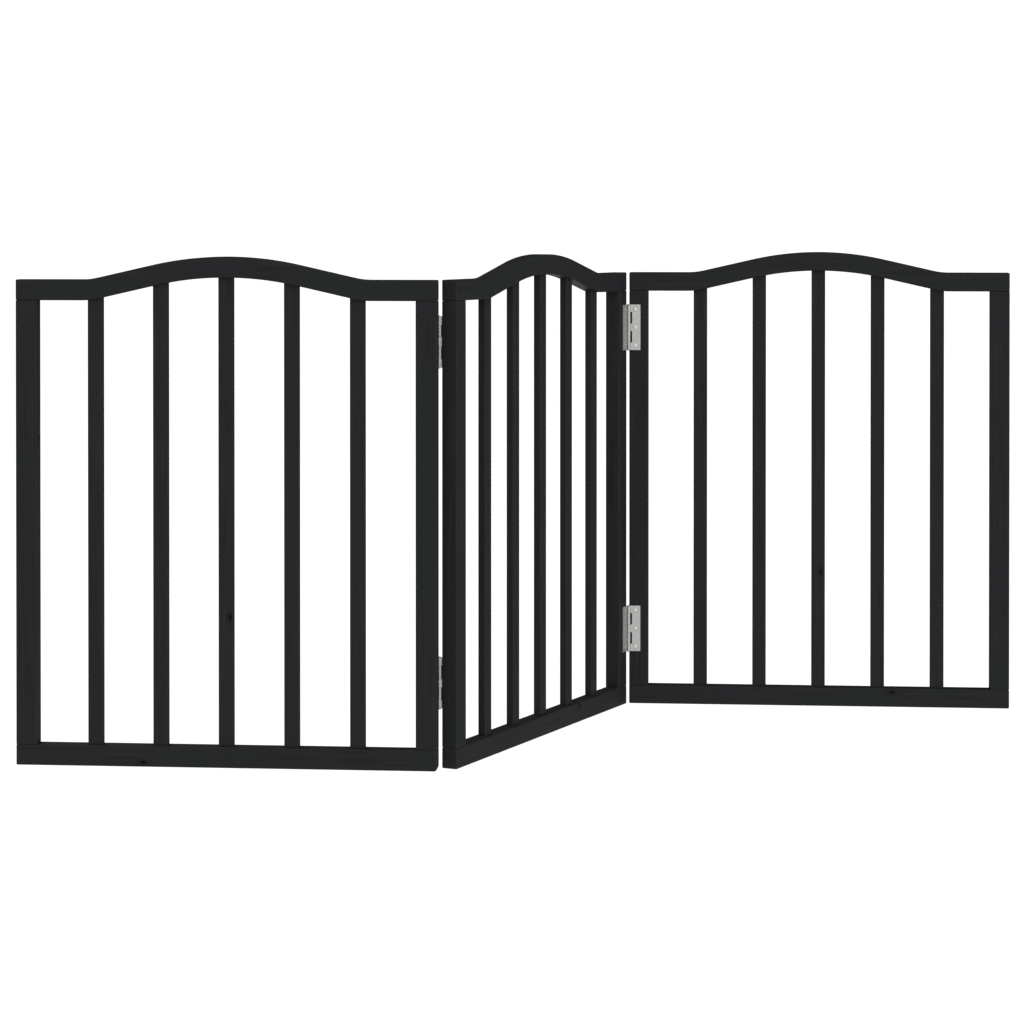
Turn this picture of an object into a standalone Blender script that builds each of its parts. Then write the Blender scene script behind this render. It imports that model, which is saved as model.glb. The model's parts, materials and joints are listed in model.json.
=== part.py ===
"""Freestanding folding pet gate.

Three slatted wooden panels with arched top rails stand in a zigzag on their bottom rails. Two butt
hinges join each outer panel to the middle one, on the side that the gate folds towards, so the
panels fold flat on each other like a Z. The gate looks the same after half a turn about Z.

Metres, +Z up. The origin is on the floor, under the centre of the middle panel.
Panel frame: x along the panel from its centre, y through its thickness, z up.
Hinge frame: z is the hinge's axis, the outer panel lies towards +x and all wood towards +y.
"""

import math

import bmesh
import bpy
from mathutils import Matrix, Vector

# Panels
PANEL_WIDTH = 0.5301
PANEL_DEPTH = 0.021
FLAT_HEIGHT = 0.608  # top of the top rail beside its arch
RAIL_HEIGHT = 0.0262
STILE_WIDTH = 0.0268
SLAT_COUNT = 5
SLAT_WIDTH = 0.019
SLAT_DEPTH = 0.010
FRAME_EASE = 0.0018  # rounding of the rails' and stiles' edges
SLAT_EASE = 0.0012
EASE_STEPS = 2

# Arch of the top rail: on each side a crest arc, a straight slope and a foot arc
ARCH_RISE = 0.0286
CREST_RADIUS = 0.410
FOOT_RADIUS = 0.095
SLOPE_ANGLE = math.radians(12.9)
CREST_STEPS = 6
FOOT_STEPS = 3

# Joinery
FIT_GAP = 0.0003  # between pieces that touch
TENON_WIDTH = 0.016
TENON_DEPTH = 0.010
TENON_LENGTH = 0.012
SLAT_SEAT = 0.010  # how far a slat's end goes into a rail

# Fold
FOLD_ANGLE = math.radians(69.1)  # each hinge's turn from straight, as the gate stands
END_GAP = 0.0005  # from a panel's end to the hinge axis when the gate is straight
AXIS_OFFSET = 0.0027  # from a panel's face out to the hinge axis

# Hinges
HINGE_HEIGHT = 0.0641
UPPER_HINGE_DROP = 0.0454  # from the flat height down to the upper hinge
LOWER_HINGE_RISE = 0.0741  # from the floor up to the lower hinge
END_KNUCKLE = 0.0106
INNER_KNUCKLE = 0.0160
LEAF_REACH = 0.0163
LEAF_THICKNESS = 0.0011
BARREL_RADIUS = AXIS_OFFSET - FIT_GAP
BORE_RADIUS = BARREL_RADIUS - LEAF_THICKNESS
OUTER_PLATE_START = 0.0046  # from the axis to the outer leaf's plate beside the other's knuckles
MIDDLE_PLATE_START = 0.0030
ROLL_START = math.radians(90)
ROLL_END = math.radians(382)
ROLL_STEPS = 14

# Hinge pins
PIN_RADIUS = BORE_RADIUS - FIT_GAP
PIN_HEAD_RADIUS = 0.0019
PIN_CROWN_RADIUS = 0.0011
PIN_HEAD_HEIGHT = 0.0007
PIN_RIM_HEIGHT = 0.0003
PIN_SIDES = 12

# Countersunk screws
SCREW_REACH = 0.0091  # from the hinge axis
SCREW_PITCH = 0.0254
SCREW_HEAD_RADIUS = 0.0028
SCREW_CROWN_RADIUS = 0.0014
SCREW_CROWN_HEIGHT = 0.0003
SCREW_RADIUS = 0.0014
SCREW_TIP_RADIUS = 0.0003
SCREW_TIP_LENGTH = 0.003
SCREW_LENGTH = 0.012
SCREW_SIDES = 12

OVERSHOOT = 0.001  # how far a cutter runs past the surface that it cuts
EASED_ANGLE = math.radians(40)  # a rail's edges that turn more than this are rounded
SHARP_ANGLE = math.radians(30)  # edges that turn more than this stay sharp in smooth shading

# Looks: linear colour, roughness, metallic
PAINTED_WOOD = ((0.0195, 0.0205, 0.0205), 0.45, 0.0)
ZINC_PLATE = ((0.42, 0.42, 0.42), 0.38, 0.85)
PIN_STEEL = ((0.36, 0.36, 0.36), 0.35, 0.9)
SCREW_STEEL = ((0.55, 0.55, 0.55), 0.30, 0.9)


# ---------------------------------------------------------------- objects

def clear_scene():
    for old in list(bpy.data.objects):
        bpy.data.objects.remove(old, do_unlink=True)


def place(obj, parent, location, turn):
    bpy.context.scene.collection.objects.link(obj)
    obj.parent = parent
    obj.location = location
    obj.rotation_euler = (0.0, 0.0, turn)
    return obj


def add_empty(name, parent=None, location=(0.0, 0.0, 0.0), turn=0.0):
    return place(bpy.data.objects.new(name, None), parent, location, turn)


def mesh_from(name, bm):
    bmesh.ops.recalc_face_normals(bm, faces=bm.faces)
    mesh = bpy.data.meshes.new(name)
    bm.to_mesh(mesh)
    bm.free()
    return mesh


def make_material(name, look):
    color, roughness, metallic = look
    material = bpy.data.materials.new(name)
    material.use_nodes = True
    shader = material.node_tree.nodes["Principled BSDF"]
    shader.inputs["Base Color"].default_value = (*color, 1.0)
    shader.inputs["Roughness"].default_value = roughness
    shader.inputs["Metallic"].default_value = metallic
    return material


def add_piece(name, bm, look, parent, location=(0.0, 0.0, 0.0)):
    mesh = mesh_from(name, bm)
    mesh.materials.append(make_material(name, look))
    mesh.shade_smooth()
    mesh.set_sharp_from_angle(angle=SHARP_ANGLE)
    return place(bpy.data.objects.new(name, mesh), parent, location, 0.0)


def combine(piece, purpose, bm, operation):
    """A Boolean on a piece with a hidden solid, which is built in the piece's own frame."""
    tool = bpy.data.objects.new(piece.name + "_" + purpose, mesh_from(purpose, bm))
    place(tool, piece, (0.0, 0.0, 0.0), 0.0)
    tool.hide_render = True
    tool.display_type = "WIRE"
    modifier = piece.modifiers.new(purpose, "BOOLEAN")
    modifier.operation = operation
    modifier.solver = "EXACT"
    modifier.object = tool


def ease_edges(piece):
    modifier = piece.modifiers.new("eased_edges", "BEVEL")
    modifier.width = FRAME_EASE
    modifier.segments = EASE_STEPS
    modifier.limit_method = "ANGLE"
    modifier.angle_limit = EASED_ANGLE


# ---------------------------------------------------------------- solids

def arc(centre, radius, start, end, steps):
    """Points along an arc, with both of its ends."""
    angles = [start + (end - start) * i / steps for i in range(steps + 1)]
    return [(centre[0] + radius * math.cos(a), centre[1] + radius * math.sin(a)) for a in angles]


def add_block(bm, low, high):
    """A rectangular block between two corners."""
    size = [b - a for a, b in zip(low, high)]
    centre = [(a + b) / 2 for a, b in zip(low, high)]
    matrix = Matrix.Translation(centre) @ Matrix.Diagonal((*size, 1.0))
    bmesh.ops.create_cube(bm, size=1.0, matrix=matrix)


def add_extrusion(bm, outline, direction):
    """A solid swept along a vector from a flat outline of 3-D points."""
    start = bm.faces.new([bm.verts.new(point) for point in outline])
    swept = bmesh.ops.extrude_face_region(bm, geom=[start], use_keep_orig=True)
    moved = [part for part in swept["geom"] if isinstance(part, bmesh.types.BMVert)]
    bmesh.ops.translate(bm, verts=moved, vec=direction)


def add_turned(bm, profile, sides, matrix):
    """A solid turned about z from (radius, height) points, closed by flat ends, then placed."""
    turns = [2 * math.pi * k / sides for k in range(sides)]
    rings = []
    for radius, height in profile:
        points = [Vector((radius * math.cos(a), radius * math.sin(a), height)) for a in turns]
        rings.append([bm.verts.new(matrix @ point) for point in points])
    for low, high in zip(rings, rings[1:]):
        for k in range(sides):
            after = (k + 1) % sides
            bm.faces.new((low[k], low[after], high[after], high[k]))
    bm.faces.new(rings[0])
    bm.faces.new(rings[-1])


def add_upright(bm, width, depth, ease, bottom, top):
    """An upright bar with rounded long edges, centred on z."""
    corners = ((1, 1), (-1, 1), (-1, -1), (1, -1))
    outline = []
    for quarter, (x_side, y_side) in enumerate(corners):
        centre = (x_side * (width / 2 - ease), y_side * (depth / 2 - ease))
        start = quarter * math.pi / 2
        outline += arc(centre, ease, start, start + math.pi / 2, EASE_STEPS)
    add_extrusion(bm, [(x, y, bottom) for x, y in outline], (0.0, 0.0, top - bottom))


# ---------------------------------------------------------------- panels

def arch_half_width():
    bends = (CREST_RADIUS + FOOT_RADIUS) * (1 - math.cos(SLOPE_ANGLE))
    slope = (ARCH_RISE - bends) / math.sin(SLOPE_ANGLE)
    return (CREST_RADIUS + FOOT_RADIUS) * math.sin(SLOPE_ANGLE) + slope * math.cos(SLOPE_ANGLE)


def arch_rise(x):
    """How far the top rail stands above its flat ends, at x from the panel's centre."""
    from_foot = arch_half_width() - abs(x)
    if from_foot <= 0:
        return 0.0
    if abs(x) <= CREST_RADIUS * math.sin(SLOPE_ANGLE):
        return ARCH_RISE - CREST_RADIUS + math.sqrt(CREST_RADIUS**2 - x**2)
    if from_foot <= FOOT_RADIUS * math.sin(SLOPE_ANGLE):
        return FOOT_RADIUS - math.sqrt(FOOT_RADIUS**2 - from_foot**2)
    foot_end = FOOT_RADIUS * (1 - math.cos(SLOPE_ANGLE))
    return foot_end + (from_foot - FOOT_RADIUS * math.sin(SLOPE_ANGLE)) * math.tan(SLOPE_ANGLE)


def arch_stations():
    """The x positions, left to right, that the top rail's outline needs."""
    crest = [CREST_RADIUS * math.sin(SLOPE_ANGLE * i / CREST_STEPS) for i in range(1, CREST_STEPS + 1)]
    foot_turns = [SLOPE_ANGLE * i / FOOT_STEPS for i in range(FOOT_STEPS, -1, -1)]
    foot = [arch_half_width() - FOOT_RADIUS * math.sin(turn) for turn in foot_turns]
    half = crest + foot + [PANEL_WIDTH / 2]
    return [-x for x in reversed(half)] + [0.0] + half


def slat_centres():
    inner = PANEL_WIDTH - 2 * STILE_WIDTH
    space = (inner - SLAT_COUNT * SLAT_WIDTH) / (SLAT_COUNT + 1)
    first = -inner / 2 + space + SLAT_WIDTH / 2
    return [first + i * (space + SLAT_WIDTH) for i in range(SLAT_COUNT)]


def underside(x):
    """Height of the top rail's lower edge."""
    return FLAT_HEIGHT - RAIL_HEIGHT + arch_rise(x)


def stile_centre(end):
    return end * (PANEL_WIDTH - STILE_WIDTH) / 2


def add_mortise(bm, x, width, depth, low, high):
    half = (width / 2 + FIT_GAP, depth / 2 + FIT_GAP)
    add_block(bm, (x - half[0], -half[1], low), (x + half[0], half[1], high))


def add_top_rail(name, parent):
    stations = arch_stations()
    half_depth = PANEL_DEPTH / 2
    upper = [(x, -half_depth, FLAT_HEIGHT + arch_rise(x)) for x in stations]
    lower = [(x, -half_depth, underside(x)) for x in reversed(stations)]
    bm = bmesh.new()
    add_extrusion(bm, upper + lower, (0.0, PANEL_DEPTH, 0.0))
    rail = add_piece(name, bm, PAINTED_WOOD, parent)
    ease_edges(rail)
    cut = bmesh.new()
    below = underside(PANEL_WIDTH / 2) - OVERSHOOT
    for end in (-1, 1):
        top = underside(stile_centre(end)) + TENON_LENGTH + FIT_GAP
        add_mortise(cut, stile_centre(end), TENON_WIDTH, TENON_DEPTH, below, top)
    for x in slat_centres():
        add_mortise(cut, x, SLAT_WIDTH, SLAT_DEPTH, below, underside(x) + SLAT_SEAT + FIT_GAP)
    combine(rail, "mortises", cut, "DIFFERENCE")


def add_bottom_rail(name, parent):
    half = (PANEL_WIDTH / 2, PANEL_DEPTH / 2)
    bm = bmesh.new()
    add_block(bm, (-half[0], -half[1], 0.0), (half[0], half[1], RAIL_HEIGHT))
    rail = add_piece(name, bm, PAINTED_WOOD, parent)
    ease_edges(rail)
    cut = bmesh.new()
    above = RAIL_HEIGHT + OVERSHOOT
    for end in (-1, 1):
        floor = RAIL_HEIGHT - TENON_LENGTH - FIT_GAP
        add_mortise(cut, stile_centre(end), TENON_WIDTH, TENON_DEPTH, floor, above)
    for x in slat_centres():
        add_mortise(cut, x, SLAT_WIDTH, SLAT_DEPTH, RAIL_HEIGHT - SLAT_SEAT - FIT_GAP, above)
    combine(rail, "mortises", cut, "DIFFERENCE")


def hinge_centres():
    """Heights of the two hinges' middles."""
    lower = LOWER_HINGE_RISE + HINGE_HEIGHT / 2
    upper = FLAT_HEIGHT - UPPER_HINGE_DROP - HINGE_HEIGHT / 2
    return {"lower": lower, "upper": upper}


def screw_heights():
    """The three screws' heights from a hinge's middle."""
    return {"bottom": -SCREW_PITCH, "middle": 0.0, "top": SCREW_PITCH}


def add_pilot_holes(bm, end, face):
    """Screw holes in a stile, from its face at -y or +y. The screws are near the hinge axis."""
    x = end * (PANEL_WIDTH / 2 + END_GAP - SCREW_REACH) - stile_centre(end)
    inward = Matrix.Rotation(math.radians(90) * face, 4, "X")
    depth = BORE_RADIUS + SCREW_LENGTH - AXIS_OFFSET + FIT_GAP
    profile = [(SCREW_RADIUS + FIT_GAP, -OVERSHOOT), (SCREW_RADIUS + FIT_GAP, depth)]
    for centre in hinge_centres().values():
        for height in screw_heights().values():
            mouth = Matrix.Translation((x, face * PANEL_DEPTH / 2, centre + height))
            add_turned(bm, profile, SCREW_SIDES, mouth @ inward)


def add_stile(name, parent, end, hinged_face=0):
    """A stile with a tenon at each end. hinged_face is -1 or 1 where hinges are screwed to it."""
    bottom = RAIL_HEIGHT + FIT_GAP
    top = underside(stile_centre(end)) - FIT_GAP
    bm = bmesh.new()
    add_upright(bm, STILE_WIDTH, PANEL_DEPTH, FRAME_EASE, bottom, top)
    stile = add_piece(name, bm, PAINTED_WOOD, parent, (stile_centre(end), 0.0, 0.0))
    core = bmesh.new()
    half = (TENON_WIDTH / 2, TENON_DEPTH / 2)
    reach = TENON_LENGTH - FIT_GAP
    add_block(core, (-half[0], -half[1], bottom - reach), (half[0], half[1], top + reach))
    combine(stile, "tenons", core, "UNION")
    if hinged_face:
        holes = bmesh.new()
        add_pilot_holes(holes, end, hinged_face)
        combine(stile, "pilot_holes", holes, "DIFFERENCE")


def add_slats(prefix, parent):
    for number, x in enumerate(slat_centres(), 1):
        bm = bmesh.new()
        bottom = RAIL_HEIGHT - SLAT_SEAT
        add_upright(bm, SLAT_WIDTH, SLAT_DEPTH, SLAT_EASE, bottom, underside(x) + SLAT_SEAT)
        add_piece(f"{prefix}_slat_{number}", bm, PAINTED_WOOD, parent, (x, 0.0, 0.0))


def add_rails_and_slats(prefix, frame):
    add_top_rail(f"{prefix}_top_rail", frame)
    add_bottom_rail(f"{prefix}_bottom_rail", frame)
    add_slats(prefix, frame)


# ---------------------------------------------------------------- hinges

def knuckle_rows():
    """(low, high) of each knuckle from a hinge's middle, bottom to top."""
    middle = HINGE_HEIGHT - 2 * (END_KNUCKLE + INNER_KNUCKLE)
    rows = []
    low = -HINGE_HEIGHT / 2
    for height in (END_KNUCKLE, INNER_KNUCKLE, middle, INNER_KNUCKLE, END_KNUCKLE):
        rows.append((low, low + height))
        low += height
    return rows


def into_wood(x, z):
    """Places a screw's or a hole's own axis through a leaf's outer face, towards the wood."""
    return Matrix.Translation((x, BORE_RADIUS, z)) @ Matrix.Rotation(math.radians(-90), 4, "X")


def add_leaf(name, parent, height, direction, plate_start, cut_rows):
    """A leaf towards +x or -x: a plate rolled round the bore, cut back at the other's knuckles."""
    roll = arc((0, 0), BARREL_RADIUS, ROLL_START, ROLL_END, ROLL_STEPS)
    bore = arc((0, 0), BORE_RADIUS, ROLL_END, ROLL_START, ROLL_STEPS)
    outline = [(LEAF_REACH, BARREL_RADIUS)] + roll + bore + [(LEAF_REACH, BORE_RADIUS)]
    bm = bmesh.new()
    points = [(direction * x, y, -HINGE_HEIGHT / 2) for x, y in outline]
    add_extrusion(bm, points, (0.0, 0.0, HINGE_HEIGHT))
    leaf = add_piece(name, bm, ZINC_PLATE, parent, (0.0, 0.0, height))
    cut = bmesh.new()
    side = BARREL_RADIUS + OVERSHOOT
    ends = sorted((-direction * side, direction * plate_start))
    for low, high in cut_rows:
        add_block(cut, (ends[0], -side, low - FIT_GAP / 2), (ends[1], side, high + FIT_GAP / 2))
    combine(leaf, "knuckle_cutouts", cut, "DIFFERENCE")
    holes = bmesh.new()
    mouth = SCREW_HEAD_RADIUS + FIT_GAP * math.sqrt(2)
    depth = LEAF_THICKNESS + OVERSHOOT
    profile = [(mouth + OVERSHOOT, -OVERSHOOT), (mouth - depth, depth)]
    for z in screw_heights().values():
        add_turned(holes, profile, SCREW_SIDES, into_wood(direction * SCREW_REACH, z))
    combine(leaf, "screw_holes", holes, "DIFFERENCE")


def add_pin(name, parent, height):
    """A hinge pin that its two peened ends keep in the barrel."""
    under = HINGE_HEIGHT / 2 + FIT_GAP
    head = [(PIN_RADIUS, under), (PIN_HEAD_RADIUS, under)]
    head += [(PIN_HEAD_RADIUS, under + PIN_RIM_HEIGHT), (PIN_CROWN_RADIUS, under + PIN_HEAD_HEIGHT)]
    foot = [(radius, -z) for radius, z in reversed(head)]
    bm = bmesh.new()
    add_turned(bm, foot + head, PIN_SIDES, Matrix())
    add_piece(name, bm, PIN_STEEL, parent, (0.0, 0.0, height))


def add_screw(name, parent, x, z):
    neck = SCREW_HEAD_RADIUS - SCREW_RADIUS
    profile = [
        (SCREW_CROWN_RADIUS, -SCREW_CROWN_HEIGHT),
        (SCREW_HEAD_RADIUS, 0.0),
        (SCREW_RADIUS, neck),
        (SCREW_RADIUS, SCREW_LENGTH - SCREW_TIP_LENGTH),
        (SCREW_TIP_RADIUS, SCREW_LENGTH),
    ]
    bm = bmesh.new()
    add_turned(bm, profile, SCREW_SIDES, into_wood(x, 0.0))
    add_piece(name, bm, SCREW_STEEL, parent, (0.0, 0.0, z))


def add_hinge(prefix, height, outer_axis, middle_axis):
    """One hinge. Its outer leaf and pin turn with outer_axis, its middle leaf with middle_axis."""
    rows = knuckle_rows()
    add_pin(f"{prefix}_pin", outer_axis, height)
    for panel, axis, direction, plate_start, cut_rows in (
        ("outer", outer_axis, 1, OUTER_PLATE_START, rows[1::2]),
        ("middle", middle_axis, -1, MIDDLE_PLATE_START, rows[0::2]),
    ):
        add_leaf(f"{prefix}_{panel}_leaf", axis, height, direction, plate_start, cut_rows)
        for place_name in ("bottom", "top"):
            z = height + screw_heights()[place_name]
            name = f"{prefix}_{panel}_{place_name}_screw"
            add_screw(name, axis, direction * SCREW_REACH, z)


# ---------------------------------------------------------------- gate

def add_middle_panel(frame):
    add_rails_and_slats("middle", frame)
    add_stile("middle_left_stile", frame, -1, hinged_face=1)
    add_stile("middle_right_stile", frame, 1, hinged_face=-1)


def add_outer_panel(prefix, axis):
    """An outer panel. Its hinge stile is beside the axis, and its slats count from there."""
    centre = (END_GAP + PANEL_WIDTH / 2, AXIS_OFFSET + PANEL_DEPTH / 2, 0.0)
    frame = add_empty(f"{prefix}_panel_centre", axis, centre)
    add_rails_and_slats(prefix, frame)
    add_stile(f"{prefix}_hinge_stile", frame, -1, hinged_face=-1)
    add_stile(f"{prefix}_end_stile", frame, 1)


def build_gate():
    clear_scene()
    middle = add_empty("middle_panel", turn=FOLD_ANGLE)
    add_middle_panel(middle)
    seat = Vector((PANEL_WIDTH / 2 + END_GAP, -PANEL_DEPTH / 2 - AXIS_OFFSET, 0.0))
    for prefix, half_turn in (("right", 0.0), ("left", math.pi)):
        location = Matrix.Rotation(half_turn, 3, "Z") @ seat
        middle_axis = add_empty(f"{prefix}_hinge_seat", middle, location, half_turn)
        outer_axis = add_empty(f"{prefix}_panel", middle_axis, turn=-FOLD_ANGLE)
        add_outer_panel(prefix, outer_axis)
        for level, height in hinge_centres().items():
            add_hinge(f"{prefix}_{level}_hinge", height, outer_axis, middle_axis)


build_gate()
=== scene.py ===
"""Looks of the folding pet gate: satin black painted softwood panels and zinc-plated butt hinges.

Metres, +Z up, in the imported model's own frame. Every piece is built again in finer mesh code at the
place that its CAD node gives, rides on that node's body and takes that node's place in the picture.
Panel frame: x along the panel from its centre, y through its thickness, z up from the floor.
Hinge frame: z is the hinge's axis, the leaf reaches towards +x or -x and the wood is towards +y.
"""

import json
import math
import random

import bmesh
import bpy
from mathutils import Matrix, Vector


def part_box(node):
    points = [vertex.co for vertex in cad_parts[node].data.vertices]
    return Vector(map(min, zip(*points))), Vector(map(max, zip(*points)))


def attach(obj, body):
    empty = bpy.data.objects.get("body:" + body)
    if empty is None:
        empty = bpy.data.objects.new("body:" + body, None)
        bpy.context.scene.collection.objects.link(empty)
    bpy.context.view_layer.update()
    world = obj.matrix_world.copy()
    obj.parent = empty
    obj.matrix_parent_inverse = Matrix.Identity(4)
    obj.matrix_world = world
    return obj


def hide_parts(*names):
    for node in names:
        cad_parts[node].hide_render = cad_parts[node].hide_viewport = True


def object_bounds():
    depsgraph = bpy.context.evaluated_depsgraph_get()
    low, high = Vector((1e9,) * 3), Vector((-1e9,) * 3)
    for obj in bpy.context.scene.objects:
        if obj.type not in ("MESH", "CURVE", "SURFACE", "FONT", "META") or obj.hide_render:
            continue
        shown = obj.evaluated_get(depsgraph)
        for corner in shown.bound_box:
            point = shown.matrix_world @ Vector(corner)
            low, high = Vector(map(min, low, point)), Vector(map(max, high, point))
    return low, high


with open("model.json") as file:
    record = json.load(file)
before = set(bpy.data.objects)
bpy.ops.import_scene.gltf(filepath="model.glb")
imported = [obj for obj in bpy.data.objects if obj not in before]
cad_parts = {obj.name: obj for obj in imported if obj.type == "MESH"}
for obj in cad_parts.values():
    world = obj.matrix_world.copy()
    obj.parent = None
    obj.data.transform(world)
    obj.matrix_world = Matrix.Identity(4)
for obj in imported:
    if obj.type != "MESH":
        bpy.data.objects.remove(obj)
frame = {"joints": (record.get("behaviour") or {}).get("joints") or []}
cad_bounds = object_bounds()

# Joinery and rounded edges
FIT_GAP = 0.0003  # between pieces that touch
HOUSING_GAP = 0.0002  # round a slat's end in its rail
SHOULDER_GAP = 0.00005  # between a stile's end and its rail
TENON_WIDTH = 0.016
TENON_DEPTH = 0.010
FRAME_EASE = 0.0018
SLAT_EASE = 0.0012
END_EASE = 0.0003  # on the cut ends of slats and stiles
EASE_STEPS = 4
WORN_CORNER = 0.0042  # the left panel's bottom corner beside its hinges

# Arch of the top rail: on each side a crest arc, a straight slope and a foot arc
CREST_RADIUS = 0.410
FOOT_RADIUS = 0.095
SLOPE_ANGLE = math.radians(12.9)
CREST_STEPS = 12
FOOT_STEPS = 6

# Hinges
LEAF_THICKNESS = 0.0011
LEAF_EASE = 0.00012
KNUCKLE_GAP = 0.00015
END_KNUCKLE = 0.0106
INNER_KNUCKLE = 0.0160
OUTER_PLATE_START = 0.0046  # from the axis to the outer leaf's plate beside the other's knuckles
MIDDLE_PLATE_START = 0.0030
ROLL_END = math.radians(382)  # the sheet starts to roll at 90 degrees
ROLL_STEPS = 36
PIN_RADIUS = 0.0010
PIN_HEAD_RADIUS = 0.0019
PIN_HEAD_HEIGHT = 0.0007
PIN_DOME_TURN = math.radians(80)  # from the head's rim towards its top
ROUND_SIDES = 32
DOME_STEPS = 6  # on a pin's or a screw's domed head

# Countersunk screws
SCREW_HEAD_RADIUS = 0.0028
SCREW_CROWN_HEIGHT = 0.0003
SCREW_LENGTH = 0.012
SCREW_CORE_RADIUS = 0.00095
SCREW_THREAD_RADIUS = 0.0014
SCREW_THREAD_PITCH = 0.0012
SCREW_HEAD_GAP = 0.00022
SCREW_CROWN_FLAT = 0.05  # of the head's radius, flat in the middle of the crown
SCREW_RIM_HEIGHT = 0.00004
SCREW_NECK_LENGTH = 0.0002  # from the head's cone to the thread
SCREW_TAPER = 0.3  # of the length, tapered to the tip
SCREW_TIP_SHARE = 0.08  # of the full radius, left at the tip
SCREW_TIP_RADIUS = 0.0001  # at the least
SCREW_SIDES = 24
SCREW_THREAD_STEPS = 56
RECESS_REACH = 0.0014  # from the screw's axis to the end of each arm of its cross recess
RECESS_WIDTH = 0.0006
RECESS_DEPTH = 0.0008
RECESS_FLOOR = (0.45, 0.6)  # of the reach and of the width, at the recess's floor
PILOT_RADIUS = SCREW_THREAD_RADIUS + FIT_GAP

OVERSHOOT = 0.001  # how far a cutter runs past the surface that it cuts
WELD = 1e-6
SHARP_ANGLE = math.radians(35)

# Small knots that show through the paint: piece, place along its panel, height above the floor
KNOTS = {
    "left_slat_3": (-0.0053, 0.1874),
    "left_bottom_rail": (0.1036, 0.0059),
    "right_slat_3": (0.0038, 0.1883),
    "right_bottom_rail": (0.1024, 0.0207),
    "middle_bottom_rail": (0.1031, 0.0217),
}
NO_KNOT = (1.0, 1.0)

# A piece's own axes as (along the grain, across it, through the thickness)
RAIL_GRAIN = (0, 2, 1)
UPRIGHT_GRAIN = (2, 0, 1)

# Patterns: repeats per metre along the grain, across it and through the thickness
GRAIN_LINES = (7.0, 330.0, 330.0)
WOOD_FIBRES = (45.0, 1500.0, 1500.0)
DARK_BANDS = (2.2, 75.0, 75.0)
TINT_PATCHES = (5.0, 17.0, 17.0)
PAINT_SPRAY = (900.0, 900.0, 900.0)
KNOT_WOBBLE = (420.0, 420.0, 420.0)
ROLLING_LINES = (120.0, 4200.0, 4200.0)
ZINC_CLOUDS = (260.0, 420.0, 420.0)
ZINC_PITS = 1100.0
NOISE_SPREAD = (0.3, 0.7)  # the values that noise mostly takes

# A knot, by the distance from its centre
KNOT_SHAPE = (0.62, 1.0, 0.0)  # longer along the grain than across it, and the same at any depth
KNOT_UNEVENNESS = 0.0006
KNOT_CORE = (0.0014, 0.0028)  # where its dark core starts to fade and where it ends
KNOT_RINGS = (0.0024, 0.0075)
RING_TURN = 7000.0  # radians per metre, from one ring to the next

# Paint
DARK_PAINT = (0.0166, 0.0168, 0.0168, 1.0)
LIGHT_PAINT = (0.0252, 0.0254, 0.0252, 1.0)
BAND_PAINT = (0.0148, 0.0150, 0.0150, 1.0)
GREEN_PAINT = (0.0188, 0.0222, 0.0209, 1.0)
BLUE_PAINT = (0.0202, 0.0203, 0.0228, 1.0)
# Painted highlight: a lighter paint on the rounded edges, where light catches them
EDGE_HIGHLIGHT_PAINT = (0.0350, 0.0348, 0.0340, 1.0)
KNOT_PAINT = (0.0035, 0.0035, 0.0036, 1.0)
# How much of the painted edge highlight the rounded edges take
EDGE_HIGHLIGHT_SHARE = 0.2
RING_SHARE = 0.5
PAINT_ROUGHNESS = (0.52, 0.60)
EDGE_POLISH = -0.06  # added to the roughness
GRAIN_DULLNESS = 0.10
PAINT_SPECULAR = 0.05
PAINT_RELIEF = 0.00010
PAINT_BUMP = 0.9
RELIEF_SHARE = {"grain": 0.8, "fibres": 0.25, "spray": 0.07, "core": -1.2, "rings": 0.5}

# Fades: a pattern's values where the fade starts and ends, and the colour's shares there
GRAIN_FADE = (0.32, 0.68, 0.0, 1.0)
BAND_FADE = (0.40, 0.75, 0.0, 0.35)
GREEN_FADE = (0.52, 0.60, 0.0, 0.8)
BLUE_FADE = (0.47, 0.40, 0.0, 0.8)
CLOUD_FADE = (0.35, 0.65, 0.0, 1.0)
ROLLING_FADE = (0.4, 0.7, 0.0, 0.25)
PIT_FADE = (0.05, 0.22, 1.0, 0.0)  # by the distance from the pit's centre

# Zinc plating
PIT_SHARE = 0.25
# Painted highlight: the share of the lighter zinc on edges and small faces
ZINC_EDGE_HIGHLIGHT_SHARE = 0.4
CLOUD_DULLNESS = 0.05
ROLLING_RELIEF = 0.6
ZINC_RELIEF = 0.00002
ZINC_BUMP = 0.7

# Camera
CAMERA_PLACE = (0.2802, -3.7430, 0.6873)
CAMERA_PITCH = math.radians(0.569)
CAMERA_YAW = math.radians(4.848)
CAMERA_LENS = 99.62
CAMERA_SHIFT = -0.2617
CAMERA_REACH = 200.0

# Studio light by direction: a lobe starts and is full at these cosines to its axis
STUDIO_LIGHT = 0.30  # from all round
FRONT_LIGHT = {"axis": (0.29, -0.92, 0.26), "start": 0.2, "full": 1.0, "strength": 0.92}
SIDE_LIGHT = {"axis": (0.99, -0.05, 0.10), "start": 0.2, "full": 1.0, "strength": 0.42}
BOUNCED_LIGHT = {"axis": (-0.50, 0.82, -0.28), "start": 0.2, "full": 0.8, "strength": 1.20}
DARK_END = {"axis": (0.02, 0.89, 0.42), "start": 0.45, "full": 0.88, "strength": -0.94}
BOUNCE_EDGE = (0.02, -0.25)  # heights of a direction where the bounced light starts and is full
WHITE_GROUND = 1.05  # what the camera sees round the gate

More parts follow.
